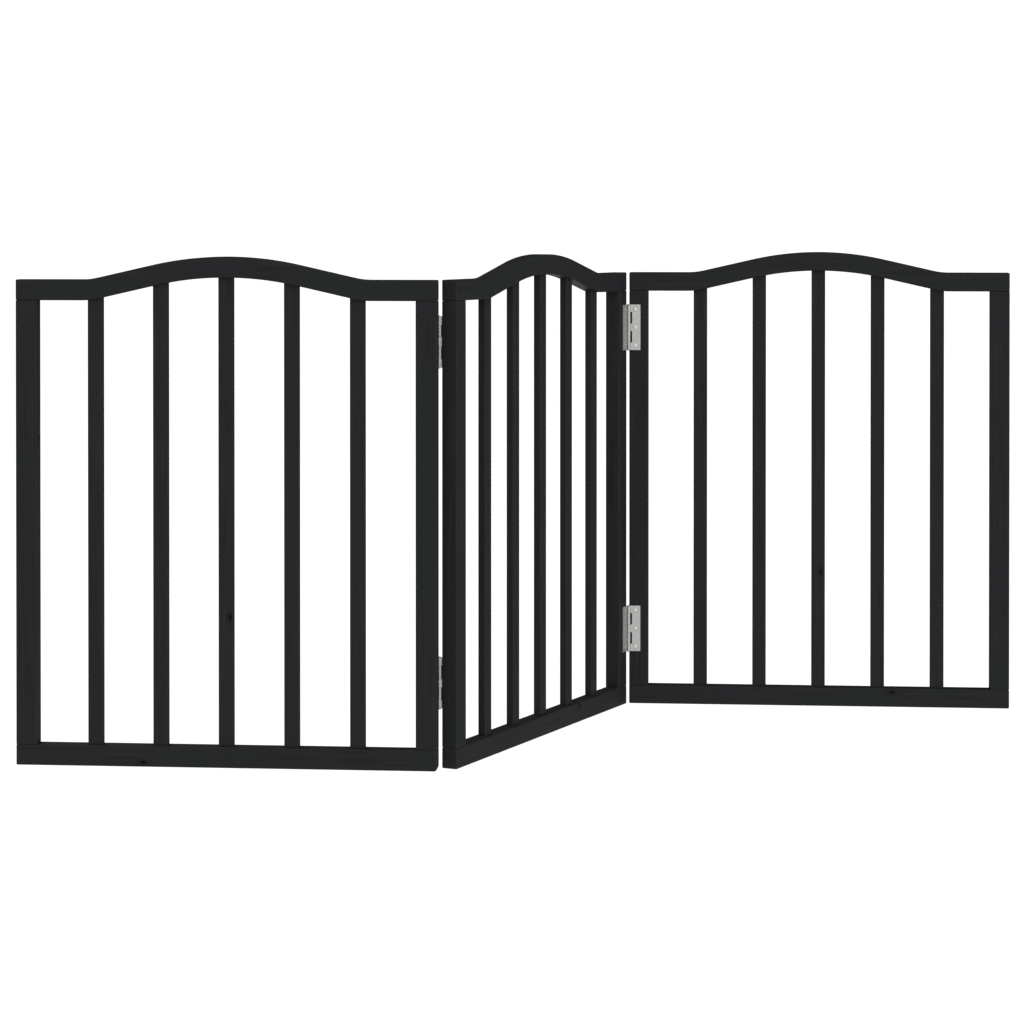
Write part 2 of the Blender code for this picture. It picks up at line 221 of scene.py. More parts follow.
# Floor and softboxes
WHITE = (1.0, 1.0, 1.0, 1.0)
FLOOR_GREY = (0.24, 0.24, 0.24, 1.0)
FLOOR_GLOW = 0.98
FLOOR_REACH = 60.0
SOFTBOXES = {  # place, size and watts
    "front_softbox": ((0.6, -2.2, 3.2), (2.6, 1.6), 5.0),
    "back_softbox": ((-2.2, 2.3, 2.6), (2.4, 1.6), 32.0),
}

rng = random.Random(7)


# ---------------------------------------------------------------- places that the frame gives

def size_of(node):
    low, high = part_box(node)
    return high - low


def middle_of(node):
    low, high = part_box(node)
    return (low + high) / 2


def joint_axis(side):
    """The fold axis's place on the floor."""
    joint = next(row for row in frame["joints"] if row["name"] == f"{side}_fold")
    return Vector((joint["pos_m"][0], joint["pos_m"][1], 0.0))


rail_low, rail_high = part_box("right_top_rail")
PANEL_WIDTH = rail_high.x - rail_low.x
PANEL_DEPTH = rail_high.y - rail_low.y
RAIL_HEIGHT = size_of("right_bottom_rail").z
STILE_WIDTH = size_of("right_end_stile").x
SLAT_WIDTH = size_of("right_slat_1").x
SLAT_DEPTH = size_of("right_slat_1").y
SLAT_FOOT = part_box("right_slat_1")[0].z
SHOULDER_HEIGHT = rail_low.z  # underside of the top rail beside its arch
ARCH_RISE = rail_high.z - rail_low.z - RAIL_HEIGHT
PANEL_CENTRE = {
    "right": middle_of("right_top_rail").to_2d().to_3d(),
    "left": middle_of("left_top_rail").to_2d().to_3d(),
    "middle": Vector((0.0, 0.0, 0.0)),
}
SLATS = [
    (middle_of(f"right_slat_{i}").x - PANEL_CENTRE["right"].x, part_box(f"right_slat_{i}")[1].z)
    for i in range(1, 6)
]
STILE_PLACE = (PANEL_WIDTH - STILE_WIDTH) / 2
TENON_FOOT, TENON_TOP = (corner.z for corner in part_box("right_end_stile"))

right_axis = joint_axis("right")
END_GAP = rail_low.x - right_axis.x  # from a panel's end to the axis
AXIS_OFFSET = rail_low.y - right_axis.y  # from a panel's face to the axis
# The middle panel turns until its corner with the right hinges points at their axis
seat_turn = math.atan2(-PANEL_DEPTH / 2 - AXIS_OFFSET, PANEL_WIDTH / 2 + END_GAP)
FOLD_ANGLE = math.atan2(right_axis.y, right_axis.x) - seat_turn
PANEL_TURN = {"right": 0.0, "left": math.pi, "middle": FOLD_ANGLE}

leaf_low, leaf_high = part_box("right_upper_hinge_outer_leaf")
HINGE_HEIGHT = leaf_high.z - leaf_low.z
LEAF_REACH = leaf_high.x - right_axis.x
BARREL_RADIUS = leaf_high.y - right_axis.y
BORE_RADIUS = BARREL_RADIUS - LEAF_THICKNESS
HINGE_LEVELS = {level: middle_of(f"right_{level}_hinge_outer_leaf").z for level in ("upper", "lower")}
screw_place = middle_of("right_upper_hinge_outer_top_screw")
SCREW_REACH = screw_place.x - right_axis.x
SCREW_PITCH = screw_place.z - HINGE_LEVELS["upper"]
SCREW_ROWS = {"bottom": -SCREW_PITCH, "middle": 0.0, "top": SCREW_PITCH}


# ---------------------------------------------------------------- materials

def add_node(tree, kind, inputs=None, **settings):
    """A node with its settings, and with inputs that are values or other nodes' outputs."""
    node = tree.nodes.new(kind)
    for name, value in settings.items():
        setattr(node, name, value)
    for name, value in (inputs or {}).items():
        if isinstance(value, bpy.types.NodeSocket):
            tree.links.new(value, node.inputs[name])
        else:
            node.inputs[name].default_value = value
    return node


def new_material(name, **constants):
    """A material, its node tree and its shader, with values that are the same all over it."""
    material = bpy.data.materials.new(name)
    material.use_nodes = True
    tree = material.node_tree
    shader = tree.nodes["Principled BSDF"]
    for socket, value in constants.items():
        shader.inputs[socket.replace("_", " ")].default_value = value
    return material, tree, shader


def attribute(tree, name, output="Vector"):
    return add_node(tree, "ShaderNodeAttribute", attribute_name=name).outputs[output]


def stretched_noise(tree, place, stretch, detail, roughness=0.55):
    """Noise drawn out along the grain: stretch is its repeats per metre along, across and through."""
    scaled = add_node(tree, "ShaderNodeVectorMath", {0: place, 1: stretch}, operation="MULTIPLY")
    inputs = {"Vector": scaled.outputs[0], "Scale": 1.0, "Detail": detail, "Roughness": roughness}
    return add_node(tree, "ShaderNodeTexNoise", inputs).outputs[0]


def ranged(tree, value, low, high, to_low=0.0, to_high=1.0, smooth=False):
    inputs = {"Value": value, "From Min": low, "From Max": high, "To Min": to_low, "To Max": to_high}
    kind = "SMOOTHSTEP" if smooth else "LINEAR"
    return add_node(tree, "ShaderNodeMapRange", inputs, interpolation_type=kind).outputs[0]


def arithmetic(tree, operation, first, second=0.0):
    return add_node(tree, "ShaderNodeMath", {0: first, 1: second}, operation=operation).outputs[0]


def blended(tree, share, first, second):
    """A colour between two, which are colours or outputs."""
    inputs = {0: share, 6: first, 7: second}  # a Mix node's factor and its inputs for colours
    return add_node(tree, "ShaderNodeMix", inputs, data_type="RGBA").outputs[2]


def weighted_sum(tree, terms):
    """The sum of (value, weight) terms."""
    total = 0.0
    for value, weight in terms:
        total = arithmetic(tree, "ADD", total, arithmetic(tree, "MULTIPLY", value, weight))
    return total


def knot_masks(tree, away):
    """The knot's dark core, its rings and the bend of the grain round it, from the way to its centre."""
    oval = add_node(tree, "ShaderNodeVectorMath", {0: away, 1: KNOT_SHAPE}, operation="MULTIPLY")
    wobble = stretched_noise(tree, away, KNOT_WOBBLE, 2.0)
    reach = add_node(tree, "ShaderNodeVectorMath", {0: oval.outputs[0]}, operation="LENGTH")
    uneven = ranged(tree, wobble, *NOISE_SPREAD, -KNOT_UNEVENNESS, KNOT_UNEVENNESS)
    distance = arithmetic(tree, "ADD", reach.outputs["Value"], uneven)
    core = ranged(tree, distance, *KNOT_CORE, 1.0, 0.0, smooth=True)
    near = ranged(tree, distance, *KNOT_RINGS, 1.0, 0.0, smooth=True)
    wave = arithmetic(tree, "SINE", arithmetic(tree, "MULTIPLY", distance, RING_TURN))
    rings = arithmetic(tree, "MULTIPLY", near, ranged(tree, wave, -1.0, 1.0))
    return core, rings, near


def wood_patterns(tree):
    """The paint's patterns by name. The grain and its bands bend round the knot."""
    place = attribute(tree, "grain_place")
    away = attribute(tree, "from_knot")
    core, rings, near = knot_masks(tree, away)
    bend = add_node(tree, "ShaderNodeVectorMath", {0: away, "Scale": near}, operation="SCALE")
    inputs = {0: place, 1: bend.outputs[0]}
    bent = add_node(tree, "ShaderNodeVectorMath", inputs, operation="SUBTRACT").outputs[0]
    return {
        "core": core,
        "rings": rings,
        "grain": stretched_noise(tree, bent, GRAIN_LINES, 3.0),
        "fibres": stretched_noise(tree, bent, WOOD_FIBRES, 2.0),
        "bands": stretched_noise(tree, bent, DARK_BANDS, 1.0),
        "tint": stretched_noise(tree, place, TINT_PATCHES, 1.0),
        "spray": stretched_noise(tree, place, PAINT_SPRAY, 2.0),
        "edge": attribute(tree, "edge", "Fac"),
    }


def paint_colour(tree, pattern):
    neutral = blended(tree, ranged(tree, pattern["grain"], *GRAIN_FADE), DARK_PAINT, LIGHT_PAINT)
    banded = blended(tree, ranged(tree, pattern["bands"], *BAND_FADE), neutral, BAND_PAINT)
    green = ranged(tree, pattern["tint"], *GREEN_FADE, smooth=True)
    blue = ranged(tree, pattern["tint"], *BLUE_FADE, smooth=True)
    tinted = blended(tree, blue, blended(tree, green, banded, GREEN_PAINT), BLUE_PAINT)
    # Painted highlight: the rounded edges take a lighter paint, where light catches them
    edge = arithmetic(tree, "MULTIPLY", pattern["edge"], EDGE_HIGHLIGHT_SHARE)
    rings = arithmetic(tree, "MULTIPLY", pattern["rings"], RING_SHARE)
    ringed = blended(tree, rings, blended(tree, edge, tinted, EDGE_HIGHLIGHT_PAINT), KNOT_PAINT)
    return blended(tree, pattern["core"], ringed, KNOT_PAINT)


def paint_roughness(tree, pattern):
    dull = ranged(tree, pattern["spray"], *NOISE_SPREAD, *PAINT_ROUGHNESS)
    raised = arithmetic(tree, "SUBTRACT", pattern["grain"], 0.5)  # from the noise's middle
    terms = ((dull, 1.0), (pattern["edge"], EDGE_POLISH), (raised, GRAIN_DULLNESS))
    return weighted_sum(tree, terms)


def painted_wood():
    """Satin black paint over softwood: grain and knots show in its colour, gloss and relief."""
    material, tree, shader = new_material(
        "black_painted_wood", Specular_IOR_Level=PAINT_SPECULAR, IOR=1.5, Metallic=0.0
    )
    pattern = wood_patterns(tree)
    tree.links.new(paint_colour(tree, pattern), shader.inputs["Base Color"])
    tree.links.new(paint_roughness(tree, pattern), shader.inputs["Roughness"])
    relief = weighted_sum(tree, [(pattern[name], share) for name, share in RELIEF_SHARE.items()])
    inputs = {"Height": relief, "Distance": PAINT_RELIEF, "Strength": PAINT_BUMP}
    bump = add_node(tree, "ShaderNodeBump", inputs)
    tree.links.new(bump.outputs[0], shader.inputs["Normal"])
    return material


def plated_steel(name, dark, light, dullness):
    """Zinc-plated steel: rolling lines along the sheet, cloudy passivation, small pits and a painted
    highlight, a lighter colour on its edges.
    """
    material, tree, shader = new_material(name, Metallic=1.0)
    place = attribute(tree, "grain_place")
    edge = attribute(tree, "edge", "Fac")
    rolling = stretched_noise(tree, place, ROLLING_LINES, 2.0)
    clouds = stretched_noise(tree, place, ZINC_CLOUDS, 3.0)
    pits = add_node(tree, "ShaderNodeTexVoronoi", {"Vector": place, "Scale": ZINC_PITS})
    pitted = ranged(tree, pits.outputs["Distance"], *PIT_FADE, smooth=True)
    clouded = blended(tree, ranged(tree, clouds, *CLOUD_FADE), dark, light)
    lined = blended(tree, ranged(tree, rolling, *ROLLING_FADE), clouded, dark)
    spotted = blended(tree, arithmetic(tree, "MULTIPLY", pitted, PIT_SHARE), lined, dark)
    # Painted highlight: edges and small faces take the lighter zinc
    highlighted = blended(tree, arithmetic(tree, "MULTIPLY", edge, ZINC_EDGE_HIGHLIGHT_SHARE), spotted, light)
    tree.links.new(highlighted, shader.inputs["Base Color"])
    roughness = (dullness + CLOUD_DULLNESS, dullness - CLOUD_DULLNESS)
    rough = ranged(tree, clouds, *NOISE_SPREAD, *roughness)
    tree.links.new(rough, shader.inputs["Roughness"])
    relief = weighted_sum(tree, ((rolling, ROLLING_RELIEF), (pitted, -1.0)))
    inputs = {"Height": relief, "Distance": ZINC_RELIEF, "Strength": ZINC_BUMP}
    bump = add_node(tree, "ShaderNodeBump", inputs)
    tree.links.new(bump.outputs[0], shader.inputs["Normal"])
    return material


WOOD = painted_wood()
ZINC = plated_steel(
    "hinge_zinc", dark=(0.43, 0.43, 0.43, 1.0), light=(0.53, 0.53, 0.52, 1.0), dullness=0.50
)
PIN = plated_steel(
    "hinge_pin", dark=(0.40, 0.40, 0.40, 1.0), light=(0.50, 0.50, 0.49, 1.0), dullness=0.42
)
# The screws' zinc is lighter than the leaves': part brighter plating, part painted highlight for the
# light on their domed heads
SCREW_ZINC_AND_HIGHLIGHT = plated_steel(
    "screw_zinc", dark=(0.54, 0.54, 0.53, 1.0), light=(0.68, 0.68, 0.66, 1.0), dullness=0.26
)


# ---------------------------------------------------------------- mesh tools

def arc(radius, start, end, steps, centre=(0.0, 0.0)):
    """Points along an arc, with both of its ends."""
    turns = [start + (end - start) * i / steps for i in range(steps + 1)]
    return [(centre[0] + radius * math.cos(t), centre[1] + radius * math.sin(t)) for t in turns]


def rounded_outline(half_width, half_depth, radius):
    """A rectangle with rounded corners: equally many points for every size."""
    quarter = math.radians(90)
    points = []
    for corner, (x_side, y_side) in enumerate(((1, 1), (-1, 1), (-1, -1), (1, -1))):
        centre = (x_side * (half_width - radius), y_side * (half_depth - radius))
        points += arc(radius, corner * quarter, (corner + 1) * quarter, EASE_STEPS, centre)
    return points


def add_loft(bm, rings):
    """A closed skin through rings of equally many points, with flat ends."""
    loops = [[bm.verts.new(point) for point in ring] for ring in rings]
    for before, after in zip(loops, loops[1:]):
        for i in range(len(before)):
            j = (i + 1) % len(before)
            bm.faces.new((before[i], before[j], after[j], after[i]))
    bm.faces.new(loops[0])
    bm.faces.new(loops[-1])


def add_turned(bm, profile, matrix=Matrix(), sides=ROUND_SIDES):
    """A solid turned about z from (radius, height) points, then placed."""
    turns = [2 * math.pi * k / sides for k in range(sides)]
    rings = []
    for radius, height in profile:
        circle = [Vector((radius * math.cos(t), radius * math.sin(t), height)) for t in turns]
        rings.append([matrix @ point for point in circle])
    add_loft(bm, rings)


def to_mesh(bm, name):
    bmesh.ops.remove_doubles(bm, verts=bm.verts, dist=WELD)
    bmesh.ops.recalc_face_normals(bm, faces=bm.faces)
    mesh = bpy.data.meshes.new(name)
    bm.to_mesh(mesh)
    bm.free()
    return mesh


def evaluated(mesh, change):
    """The mesh after the modifiers that change() puts on an object that holds it."""
    holder = bpy.data.objects.new("holder", mesh)
    bpy.context.scene.collection.objects.link(holder)
    change(holder)
    depsgraph = bpy.context.evaluated_depsgraph_get()
    result = bpy.data.meshes.new_from_object(holder.evaluated_get(depsgraph))
    bpy.data.objects.remove(holder)
    return result


def carved(mesh, cutters):
    """The mesh with one solid after another cut out of it."""
    tools = []
    for bm in cutters:
        tool = bpy.data.objects.new("cutter", to_mesh(bm, "cutter"))
        bpy.context.scene.collection.objects.link(tool)
        tools.append(tool)

    def cut(holder):
        for tool in tools:
            modifier = holder.modifiers.new("cut", "BOOLEAN")
            modifier.operation = "DIFFERENCE"
            modifier.solver = "EXACT"
            modifier.object = tool

    result = evaluated(mesh, cut)
    for tool in tools:
        bpy.data.objects.remove(tool)
    return result


def softened(mesh, width):
    """The mesh with its sharp edges slightly rounded."""
    def soften(holder):
        modifier = holder.modifiers.new("soften", "BEVEL")
        modifier.width = width
        modifier.segments = 2
        modifier.limit_method = "ANGLE"
        modifier.angle_limit = SHARP_ANGLE

    return evaluated(mesh, soften)


# ---------------------------------------------------------------- pieces

def mark_points(mesh, name, kind, values):
    """A value for each vertex, which the materials read."""
    layer = mesh.attributes.new(name, kind, "POINT")
    key = "value" if kind == "FLOAT" else "vector"
    flat = values if kind == "FLOAT" else [number for value in values for number in value]
    layer.data.foreach_set(key, flat)


def along_grain(point, axes):
    """A point as (along the grain, across it, through the thickness)."""
    return Vector(point[axis] for axis in axes)


def mark_grain(mesh, axes, knot=NO_KNOT):
    """Where each vertex lies in its own length of timber, and the way there from its knot."""
    offset = Vector(rng.uniform(0.0, 5.0) for _ in range(3))
    places = [along_grain(vertex.co, axes) for vertex in mesh.vertices]
    centre = along_grain((knot[0], 0.0, knot[1]), axes)
    mark_points(mesh, "grain_place", "FLOAT_VECTOR", [place + offset for place in places])
    mark_points(mesh, "from_knot", "FLOAT_VECTOR", [place - centre for place in places])


def edge_share(point, low, high, ease):
    """0 on a bar's flat faces, 1 halfway round its rounded edges."""
    depths = [ease - min(p - a, b - p) for p, a, b in zip(point, low, high)]
    first, second = sorted((min(max(depth, 0.0), ease) for depth in depths), reverse=True)[:2]
    return min(2.0 * first * second / ease**2, 1.0)


def add_piece(name, mesh, material, place, replaced=True):
    """An object at its place, which stands for the CAD node of its name if there is one."""
    mesh.shade_smooth()
    mesh.set_sharp_from_angle(angle=SHARP_ANGLE)
    mesh.materials.clear()
    mesh.materials.append(material)
    piece = bpy.data.objects.new("new_" + name, mesh)
    bpy.context.scene.collection.objects.link(piece)
    piece.matrix_world = place
    normals = piece.modifiers.new("even_normals", "WEIGHTED_NORMAL")
    normals.keep_sharp = True
    if replaced:
        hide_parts(name)
    return piece


# ---------------------------------------------------------------- wood

def arch_half_width():
    bends = (CREST_RADIUS + FOOT_RADIUS) * (1 - math.cos(SLOPE_ANGLE))
    slope = (ARCH_RISE - bends) / math.sin(SLOPE_ANGLE)
    return (CREST_RADIUS + FOOT_RADIUS) * math.sin(SLOPE_ANGLE) + slope * math.cos(SLOPE_ANGLE)


def arch_rise(x):
    """How far the top rail stands above its flat ends, at x from the panel's centre."""
    from_foot = arch_half_width() - abs(x)
    if from_foot <= 0:
        return 0.0
    if abs(x) <= CREST_RADIUS * math.sin(SLOPE_ANGLE):
        return ARCH_RISE - CREST_RADIUS + math.sqrt(CREST_RADIUS**2 - x**2)
    if from_foot <= FOOT_RADIUS * math.sin(SLOPE_ANGLE):
        return FOOT_RADIUS - math.sqrt(FOOT_RADIUS**2 - from_foot**2)
    foot_end = FOOT_RADIUS * (1 - math.cos(SLOPE_ANGLE))
    return foot_end + (from_foot - FOOT_RADIUS * math.sin(SLOPE_ANGLE)) * math.tan(SLOPE_ANGLE)


def arch_stations():
    """Places along the top rail, from left to right, where its outline bends."""
    crest = [CREST_RADIUS * math.sin(SLOPE_ANGLE * i / CREST_STEPS) for i in range(1, CREST_STEPS + 1)]
    foot_turns = [SLOPE_ANGLE * i / FOOT_STEPS for i in range(FOOT_STEPS, -1, -1)]
    half = crest + [arch_half_width() - FOOT_RADIUS * math.sin(turn) for turn in foot_turns]
    return [-x for x in reversed(half)] + [0.0] + half


def rounded_end(length, half_width, half_depth, ease, corner):
    """(place, outline) pairs round a bar's end at +length, from its side to its flat end."""
    sections = []
    for i in range(EASE_STEPS + 1):
        turn = math.radians(90) * i / EASE_STEPS
        inset = ease * (1 - math.cos(turn))
        outline = rounded_outline(half_width - inset, half_depth - inset, max(corner - inset, 0.0))
        sections.append((length - ease * (1 - math.sin(turn)), outline))
    return sections


def bar_sections(low, high, half_width, half_depth, ease, end_ease, stations=()):
    """(place, outline) pairs of a bar from low to high, with all its edges rounded."""
    middle = (low + high) / 2
    half = (high - low) / 2
    end = rounded_end(half, half_width, half_depth, end_ease, ease)
    start = [(middle - place, outline) for place, outline in reversed(end)]
    full = rounded_outline(half_width, half_depth, ease)
    between = [(place, full) for place in stations]
    return start + between + [(middle + place, outline) for place, outline in end]


def worn_height(x, reach):
    """How far a rail's underside rises at x, where its low-x end is worn round over reach."""
    left = 1.0 - (x + PANEL_WIDTH / 2) / reach if reach else 0.0
    return reach * (1.0 - math.sqrt(1.0 - left**2)) if left > 0.0 else 0.0


def rail_mesh(height, rise, stations=(), worn=0.0):
    """A rail that lies along x. height is its middle's, and rise lifts it along its length."""
    end = PANEL_WIDTH / 2
    half = RAIL_HEIGHT / 2
    sections = bar_sections(-end, end, half, PANEL_DEPTH / 2, FRAME_EASE, FRAME_EASE, stations)
    rings = []
    for x, outline in sections:
        top = height + rise(x) + half
        kept = 1.0 - worn_height(x, worn) / RAIL_HEIGHT
        rings.append([(x, y, top - (half - z) * kept) for z, y in outline])
    bm = bmesh.new()
    add_loft(bm, rings)
    return to_mesh(bm, "rail")


def upright_cutter(bm, x, outline, low, high):
    add_loft(bm, [[(x + a, b, z) for a, b in outline] for z in (low, high)])


def slat_housing():
    gap = HOUSING_GAP
    return rounded_outline(SLAT_WIDTH / 2 + gap, SLAT_DEPTH / 2 + gap, SLAT_EASE + gap)


def tenon_mortise():
    return rounded_outline(TENON_WIDTH / 2 + FIT_GAP, TENON_DEPTH / 2 + FIT_GAP, END_EASE + FIT_GAP)


def top_rail_mesh():
    rail = rail_mesh(SHOULDER_HEIGHT + RAIL_HEIGHT / 2, arch_rise, arch_stations())
    cut = bmesh.new()
    below = SHOULDER_HEIGHT - OVERSHOOT
    for end in (-1, 1):
        upright_cutter(cut, end * STILE_PLACE, tenon_mortise(), below, TENON_TOP + FIT_GAP)
    for x, top in SLATS:
        upright_cutter(cut, x, slat_housing(), below, top + FIT_GAP)
    return carved(rail, [cut])


def bottom_rail_mesh(worn=0.0):
    """A bottom rail whose low-x end is worn round underneath over a length of worn."""
    steps = [math.radians(90) * i / EASE_STEPS for i in range(EASE_STEPS)]
    stations = [-PANEL_WIDTH / 2 + worn * math.sin(turn) for turn in steps]
    stations = [x for x in stations if x > FRAME_EASE - PANEL_WIDTH / 2]
    rail = rail_mesh(RAIL_HEIGHT / 2, lambda x: 0.0, stations, worn)
    cut = bmesh.new()
    above = RAIL_HEIGHT + OVERSHOOT
    for end in (-1, 1):
        upright_cutter(cut, end * STILE_PLACE, tenon_mortise(), TENON_FOOT - FIT_GAP, above)
    for x, _ in SLATS:
        upright_cutter(cut, x, slat_housing(), SLAT_FOOT - FIT_GAP, above)
    return carved(rail, [cut])


def slat_mesh(x, top):
    sections = bar_sections(SLAT_FOOT, top, SLAT_WIDTH / 2, SLAT_DEPTH / 2, SLAT_EASE, END_EASE)
    bm = bmesh.new()
    add_loft(bm, [[(x + a, b, z) for a, b in outline] for z, outline in sections])
    return to_mesh(bm, "slat")


def screw_line(end):
    """How far the hinges' screws are from the panel's centre."""
    return end * (PANEL_WIDTH / 2 + END_GAP - SCREW_REACH)


def pilot_holes(end, face):
    """Cutters for the six screw holes in a stile's face on the -y or +y side."""
    bm = bmesh.new()
    depth = BORE_RADIUS + SCREW_LENGTH - AXIS_OFFSET + FIT_GAP
    profile = [(PILOT_RADIUS, -OVERSHOOT), (PILOT_RADIUS, depth)]
    inward = Matrix.Rotation(math.radians(90) * face, 4, "X")
    for level in HINGE_LEVELS.values():
        for row in SCREW_ROWS.values():
            mouth = Matrix.Translation((screw_line(end), face * PANEL_DEPTH / 2, level + row))
            add_turned(bm, profile, mouth @ inward)
    return bm


def stile_mesh(end, hinged_face):
    """A stile with its two tenons, and with screw holes if hinged_face is -1 or 1."""
    foot = RAIL_HEIGHT + SHOULDER_GAP
    top = SHOULDER_HEIGHT - SHOULDER_GAP
    bar = bar_sections(foot, top, STILE_WIDTH / 2, PANEL_DEPTH / 2, FRAME_EASE, END_EASE)
    tenon = rounded_outline(TENON_WIDTH / 2, TENON_DEPTH / 2, END_EASE)
    sections = [(TENON_FOOT, tenon), (foot, tenon)] + bar + [(top, tenon), (TENON_TOP, tenon)]
    bm = bmesh.new()
    x = end * STILE_PLACE
    add_loft(bm, [[(x + a, b, z) for a, b in outline] for z, outline in sections])
    mesh = to_mesh(bm, "stile")
    return carved(mesh, [pilot_holes(end, hinged_face)]) if hinged_face else mesh


def add_wood(name, mesh, side, axes, low, high, ease, rise=None):
    """A wooden piece of a panel. low and high are its bar's corners without the arch."""
    mark_grain(mesh, axes, KNOTS.get(name, NO_KNOT))
    shares = []
    for vertex in mesh.vertices:
        lift = rise(vertex.co.x) if rise else 0.0
        shares.append(edge_share(vertex.co - Vector((0.0, 0.0, lift)), low, high, ease))
    mark_points(mesh, "edge", "FLOAT", shares)
    place = Matrix.Translation(PANEL_CENTRE[side]) @ Matrix.Rotation(PANEL_TURN[side], 4, "Z")
    piece = add_piece(name, mesh, WOOD, place)
    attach(piece, f"{side}_panel")


def add_rail(name, mesh, side, height, rise=None):
    half = Vector((PANEL_WIDTH / 2, PANEL_DEPTH / 2, RAIL_HEIGHT / 2))
    centre = Vector((0.0, 0.0, height))
    add_wood(name, mesh, side, RAIL_GRAIN, centre - half, centre + half, FRAME_EASE, rise)


def add_stile(name, mesh, side, end):
    """A stile. Its ends are hidden, so the bar for its edges runs on past them."""
    half = Vector((STILE_WIDTH / 2, PANEL_DEPTH / 2, 0.0))
    foot = Vector((end * STILE_PLACE, 0.0, -OVERSHOOT))
    top = Vector((end * STILE_PLACE, 0.0, TENON_TOP + RAIL_HEIGHT))
    add_wood(name, mesh, side, UPRIGHT_GRAIN, foot - half, top + half, FRAME_EASE)


def add_slats(side):
    half = Vector((SLAT_WIDTH / 2, SLAT_DEPTH / 2, 0.0))
    for number, (x, top) in enumerate(SLATS, 1):
        low = Vector((x, 0.0, SLAT_FOOT - OVERSHOOT)) - half
        high = Vector((x, 0.0, top + OVERSHOOT)) + half
        name = f"{side}_slat_{number}"
        add_wood(name, slat_mesh(x, top), side, UPRIGHT_GRAIN, low, high, SLAT_EASE)


def add_panels():
    """The 27 wooden pieces. An outer panel's hinge stile is at its -x end."""
    top_rail = top_rail_mesh()
    bottom_rails = {"left": bottom_rail_mesh(WORN_CORNER), "middle": bottom_rail_mesh()}
    bottom_rails["right"] = bottom_rails["middle"].copy()
    stiles = {
        "left": (("hinge_stile", -1, -1), ("end_stile", 1, 0)),
        "right": (("hinge_stile", -1, -1), ("end_stile", 1, 0)),
        "middle": (("left_stile", -1, 1), ("right_stile", 1, -1)),
    }
    for side, pair in stiles.items():
        add_rail(f"{side}_top_rail", top_rail.copy(), side, SHOULDER_HEIGHT + RAIL_HEIGHT / 2, arch_rise)
        add_rail(f"{side}_bottom_rail", bottom_rails[side], side, RAIL_HEIGHT / 2)
        for name, end, hinged_face in pair:
            add_stile(f"{side}_{name}", stile_mesh(end, hinged_face), side, end)
        add_slats(side)


# ---------------------------------------------------------------- hinges

def knuckle_rows():
    """(low, high) of each knuckle from a hinge's middle, bottom to top."""
    middle = HINGE_HEIGHT - 2 * (END_KNUCKLE + INNER_KNUCKLE)
    rows = []
    low = -HINGE_HEIGHT / 2
    for height in (END_KNUCKLE, INNER_KNUCKLE, middle, INNER_KNUCKLE, END_KNUCKLE):
        rows.append((low, low + height))
        low += height
    return rows


def add_block(bm, low, high):
    size = [b - a for a, b in zip(low, high)]
    centre = [(a + b) / 2 for a, b in zip(low, high)]
    bmesh.ops.create_cube(bm, size=1.0, matrix=Matrix.Translation(centre) @ Matrix.Diagonal((*size, 1.0)))


def into_wood(x, z):
    """Places a screw's own axis through the leaf's outer face, towards the wood."""
    return Matrix.Translation((x, BORE_RADIUS, z)) @ Matrix.Rotation(math.radians(-90), 4, "X")


def knuckle_cutouts(direction, plate_start, rows):
    """The room that one leaf leaves for the other leaf's knuckles."""
    bm = bmesh.new()
    side = BARREL_RADIUS + OVERSHOOT
    ends = sorted((-direction * side, direction * plate_start))
    for low, high in rows:
        floor = low - KNUCKLE_GAP / 2
        roof = high + KNUCKLE_GAP / 2
        add_block(bm, (ends[0], -side, floor), (ends[1], side, roof))
    return bm


def countersinks(direction):
    """Cutters that follow the screws' cones, SCREW_HEAD_GAP off them."""
    bm = bmesh.new()
    mouth = SCREW_HEAD_RADIUS + SCREW_HEAD_GAP * math.sqrt(2)
    depth = LEAF_THICKNESS + OVERSHOOT
    for z in SCREW_ROWS.values():
        profile = [(mouth + OVERSHOOT, -OVERSHOOT), (mouth - depth, depth)]
        add_turned(bm, profile, into_wood(direction * SCREW_REACH, z))
    return bm


def leaf_mesh(direction, plate_start, cut_rows):
    """A plate towards +x or -x that is rolled round the pin, cut back and countersunk."""
    roll = arc(BARREL_RADIUS, math.radians(90), ROLL_END, ROLL_STEPS)
    bore = arc(BORE_RADIUS, ROLL_END, math.radians(90), ROLL_STEPS)
    outline = [(LEAF_REACH, BARREL_RADIUS)] + roll + bore + [(LEAF_REACH, BORE_RADIUS)]
    rings = [
        [(direction * x, y, z) for x, y in outline] for z in (-HINGE_HEIGHT / 2, HINGE_HEIGHT / 2)
    ]
    bm = bmesh.new()
    add_loft(bm, rings)
    plate = to_mesh(bm, "leaf")
    cutouts = knuckle_cutouts(direction, plate_start, cut_rows)
    shaped = carved(plate, [cutouts, countersinks(direction)])
    return softened(shaped, LEAF_EASE)


def pin_mesh():
    """A pin with a peened head at each end."""
    under = HINGE_HEIGHT / 2 + FIT_GAP
    dome = arc(1.0, 0.0, PIN_DOME_TURN, DOME_STEPS)
    head = [(PIN_RADIUS, under)]
    head += [(PIN_HEAD_RADIUS * x, under + PIN_HEAD_HEIGHT * y) for x, y in dome]
    foot = [(radius, -z) for radius, z in reversed(head)]
    bm = bmesh.new()
    add_turned(bm, foot + head)
    return to_mesh(bm, "pin")


